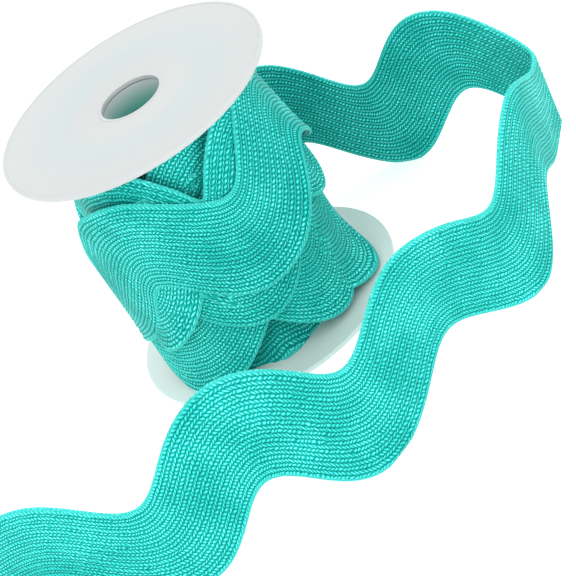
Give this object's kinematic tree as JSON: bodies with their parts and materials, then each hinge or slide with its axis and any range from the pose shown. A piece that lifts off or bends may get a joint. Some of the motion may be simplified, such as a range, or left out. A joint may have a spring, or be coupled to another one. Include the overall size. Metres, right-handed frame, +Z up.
{
  "type": "roll of ric rac trim on a spool",
  "caption": "Wide teal ric rac trim wound in wavy turns on a white plastic spool, its loose end standing on its edge in a long loop round the spool.",
  "frame": {"origin": "middle of the whole roll's footprint, on the surface that the spool and the loose end stand on", "axes": "+Z up along the spool's axis, +X along the length of the loop that the loose end makes, the loose end's cut end at -X and the open side of the loop at -X"},
  "size_m": [0.2134, 0.179, 0.0894],
  "materials": {
    "spool_plastic": "smooth milky white plastic, slightly see-through",
    "ric_rac": "braided polyester in fine wavy ribs, soft sheen"
  },
  "bodies": {
    "root": {"lower_flange": "spool_plastic", "upper_flange": "spool_plastic", "core_tube": "spool_plastic", "wound_roll": "ric_rac", "loose_end": "ric_rac"}
  },
  "joints": []
}
